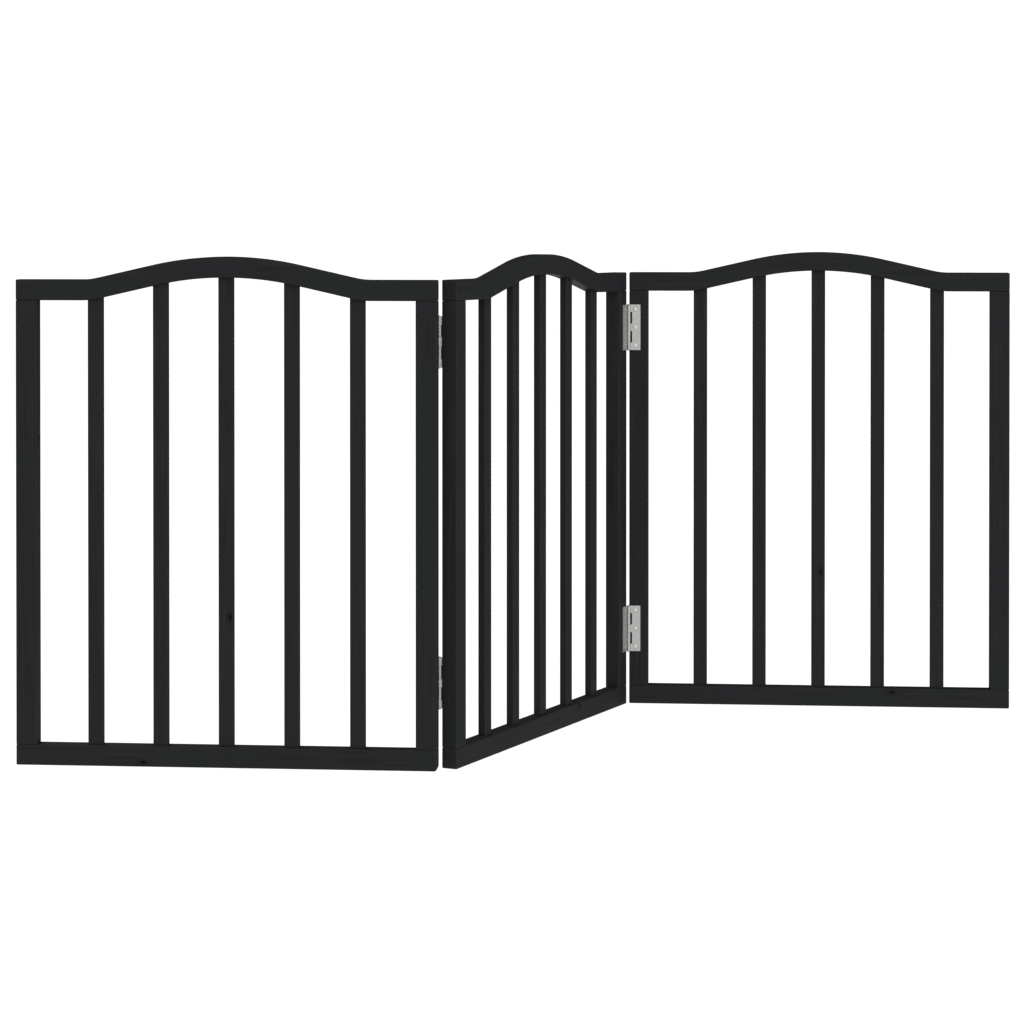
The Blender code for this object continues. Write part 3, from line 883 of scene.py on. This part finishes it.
def thread_radius(depth, turn):
    """The screw's radius in the wood: a sharp thread that dies out towards the tip."""
    phase = (depth / SCREW_THREAD_PITCH - turn / (2 * math.pi)) % 1.0
    crest = max(0.0, 1.0 - abs(phase - 0.5) * 4.0)  # a V over the middle half of each pitch
    radius = SCREW_CORE_RADIUS + (SCREW_THREAD_RADIUS - SCREW_CORE_RADIUS) * crest
    left = (SCREW_LENGTH - depth) / (SCREW_LENGTH * SCREW_TAPER)
    return max(SCREW_TIP_RADIUS, radius * min(1.0, left + SCREW_TIP_SHARE))


def screw_mesh():
    """A countersunk screw along z, with its head's rim at 0 and its tip at SCREW_LENGTH."""
    turns = [2 * math.pi * k / SCREW_SIDES for k in range(SCREW_SIDES)]
    profile = [
        (SCREW_HEAD_RADIUS * max(x, SCREW_CROWN_FLAT), -SCREW_CROWN_HEIGHT * y - SCREW_RIM_HEIGHT)
        for x, y in arc(1.0, math.radians(90), 0.0, DOME_STEPS)
    ]
    cone = SCREW_HEAD_RADIUS - SCREW_THREAD_RADIUS
    profile += [(SCREW_HEAD_RADIUS, 0.0), (SCREW_THREAD_RADIUS, cone)]
    rings = [[(r * math.cos(t), r * math.sin(t), z) for t in turns] for r, z in profile]
    start = cone + SCREW_NECK_LENGTH
    for i in range(SCREW_THREAD_STEPS + 1):
        z = start + (SCREW_LENGTH - start) * i / SCREW_THREAD_STEPS
        radii = [thread_radius(z, t) for t in turns]
        rings.append([(r * math.cos(t), r * math.sin(t), z) for r, t in zip(radii, turns)])
    bm = bmesh.new()
    add_loft(bm, rings)
    return carved(to_mesh(bm, "screw"), [recess_arm(0.0), recess_arm(math.radians(90))])


def recess_arm(turn):
    """One slot of the cross recess, which narrows towards its floor."""
    bm = bmesh.new()
    top = -SCREW_CROWN_HEIGHT - OVERSHOOT
    rings = []
    for depth, reach, width in ((top, 1.0, 1.0), (0.0, 1.0, 1.0), (RECESS_DEPTH, *RECESS_FLOOR)):
        half = (RECESS_REACH * reach, RECESS_WIDTH / 2 * width)
        ring = [(half[0], half[1]), (-half[0], half[1]), (-half[0], -half[1]), (half[0], -half[1])]
        rings.append([Matrix.Rotation(turn, 3, "Z") @ Vector((x, y, depth)) for x, y in ring])
    add_loft(bm, rings)
    return bm


def mark_metal(mesh, axes):
    """Grain places for metal, and an edge share of 1 on small faces, which take a painted highlight: a
    leaf's softened edges, and nearly all of a pin or a screw."""
    mark_grain(mesh, axes)
    highlighted = set()
    for face in mesh.polygons:
        if face.area < LEAF_EASE * LEAF_REACH / 2:
            highlighted.update(face.vertices)
    mark_points(mesh, "edge", "FLOAT", [float(i in highlighted) for i in range(len(mesh.vertices))])


def add_hinge_piece(name, mesh, material, place, body, replaced=True):
    piece = add_piece(name, mesh, material, place, replaced)
    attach(piece, body)


def add_screws(prefix, mesh, place, direction, body):
    """A leaf's three screws. The middle one has no CAD node."""
    for row, z in SCREW_ROWS.items():
        turned = Matrix.Rotation(rng.uniform(0.0, math.pi), 4, "Z")
        seat = place @ into_wood(direction * SCREW_REACH, z) @ turned
        name = f"{prefix}_{row}_screw"
        add_hinge_piece(name, mesh, SCREW_ZINC_AND_HIGHLIGHT, seat, body, row != "middle")


def add_leaf(name, leaf, screw, place, direction, body):
    """A leaf and its three screws."""
    mesh = leaf.copy()
    mark_metal(mesh, UPRIGHT_GRAIN)
    add_hinge_piece(f"{name}_leaf", mesh, ZINC, place, body)
    add_screws(name, screw, place, direction, body)


def add_hinges():
    """Four hinges. The outer leaf and the pin turn with the outer panel."""
    rows = knuckle_rows()
    outer_leaf = leaf_mesh(1, OUTER_PLATE_START, rows[1::2])
    middle_leaf = leaf_mesh(-1, MIDDLE_PLATE_START, rows[0::2])
    pin = pin_mesh()
    screw = screw_mesh()
    mark_metal(pin, UPRIGHT_GRAIN)
    mark_metal(screw, UPRIGHT_GRAIN)
    for side in ("left", "right"):
        axis = Matrix.Translation(joint_axis(side))
        outer = axis @ Matrix.Rotation(PANEL_TURN[side], 4, "Z")
        middle = axis @ Matrix.Rotation(PANEL_TURN[side] + FOLD_ANGLE, 4, "Z")
        panel = f"{side}_panel"
        for level, height in HINGE_LEVELS.items():
            lift = Matrix.Translation((0.0, 0.0, height))
            hinge = f"{side}_{level}_hinge"
            add_hinge_piece(f"{hinge}_pin", pin, PIN, outer @ lift, panel)
            add_leaf(f"{hinge}_outer", outer_leaf, screw, outer @ lift, 1, panel)
            add_leaf(f"{hinge}_middle", middle_leaf, screw, middle @ lift, -1, "middle_panel")


# ---------------------------------------------------------------- studio

def add_floor():
    """A plain white floor. It shows only to the camera, so it doesn't lighten the black paint."""
    bm = bmesh.new()
    bmesh.ops.create_grid(bm, x_segments=1, y_segments=1, size=FLOOR_REACH)
    mesh = bpy.data.meshes.new("floor")
    bm.to_mesh(mesh)
    bm.free()
    material = new_material(
        "floor_white",
        Base_Color=FLOOR_GREY,
        Roughness=1.0,
        Specular_IOR_Level=0.0,
        Emission_Color=WHITE,
        Emission_Strength=FLOOR_GLOW,
    )[0]
    material.cycles.emission_sampling = "NONE"
    mesh.materials.append(material)
    floor = bpy.data.objects.new("floor", mesh)
    bpy.context.scene.collection.objects.link(floor)
    floor.location.z = cad_bounds[0].z - FIT_GAP
    floor.visible_diffuse = False
    floor.visible_glossy = False
    floor.visible_shadow = False


def lobe(tree, direction, axis, start, full, strength):
    """Strength that grows from nothing to all of it as a direction's cosine to an axis grows."""
    towards = add_node(
        tree, "ShaderNodeVectorMath", {0: direction, 1: axis}, operation="DOT_PRODUCT"
    )
    return ranged(tree, towards.outputs["Value"], start, full, 0.0, strength, smooth=True)


def add_studio_light():
    """Soft light from the front and the right, dark high behind the gate and light low behind it. The
    camera itself sees only white."""
    world = bpy.data.worlds.new("studio")
    bpy.context.scene.world = world
    world.use_nodes = True
    tree = world.node_tree
    tree.nodes.clear()
    direction = add_node(tree, "ShaderNodeTexCoord").outputs["Generated"]
    front = lobe(tree, direction, **FRONT_LIGHT)
    side = lobe(tree, direction, **SIDE_LIGHT)
    behind = lobe(tree, direction, **DARK_END)
    height = add_node(tree, "ShaderNodeSeparateXYZ", {0: direction}).outputs[2]
    below = ranged(tree, height, *BOUNCE_EDGE, smooth=True)
    bounced = arithmetic(tree, "MULTIPLY", lobe(tree, direction, **BOUNCED_LIGHT), below)
    high = arithmetic(tree, "ADD", arithmetic(tree, "ADD", front, side), STUDIO_LIGHT)
    even = arithmetic(tree, "ADD", high, bounced)
    strength = arithmetic(tree, "MULTIPLY", even, arithmetic(tree, "ADD", behind, 1.0))
    studio = add_node(tree, "ShaderNodeBackground", {"Color": WHITE, "Strength": strength})
    white = add_node(tree, "ShaderNodeBackground", {"Color": WHITE, "Strength": WHITE_GROUND})
    seen = add_node(tree, "ShaderNodeLightPath").outputs["Is Camera Ray"]
    mix = add_node(
        tree, "ShaderNodeMixShader", {0: seen, 1: studio.outputs[0], 2: white.outputs[0]}
    )
    output = tree.nodes.new("ShaderNodeOutputWorld")
    tree.links.new(mix.outputs[0], output.inputs["Surface"])


def add_softbox(name, location, size, power):
    """A large soft light that faces the middle of the gate."""
    light = bpy.data.lights.new(name, "AREA")
    light.shape = "RECTANGLE"
    light.size = size[0]
    light.size_y = size[1]
    light.energy = power
    lamp = bpy.data.objects.new(name, light)
    bpy.context.scene.collection.objects.link(lamp)
    lamp.location = location
    target = Vector((0.0, 0.0, SHOULDER_HEIGHT / 2))
    lamp.rotation_euler = (Vector(location) - target).to_track_quat("Z", "Y").to_euler()
    lamp.visible_camera = False


def add_camera():
    camera = bpy.data.objects.new("camera", bpy.data.cameras.new("camera"))
    bpy.context.scene.collection.objects.link(camera)
    camera.location = CAMERA_PLACE
    camera.rotation_euler = (math.radians(90) - CAMERA_PITCH, 0.0, CAMERA_YAW)
    camera.data.lens = CAMERA_LENS
    camera.data.shift_y = CAMERA_SHIFT
    camera.data.clip_end = CAMERA_REACH
    bpy.context.scene.camera = camera
    bpy.context.scene.view_settings.view_transform = "Standard"


add_camera()
add_panels()
add_hinges()
add_floor()
add_studio_light()
for softbox, (location, size, power) in SOFTBOXES.items():
    add_softbox(softbox, location, size, power)
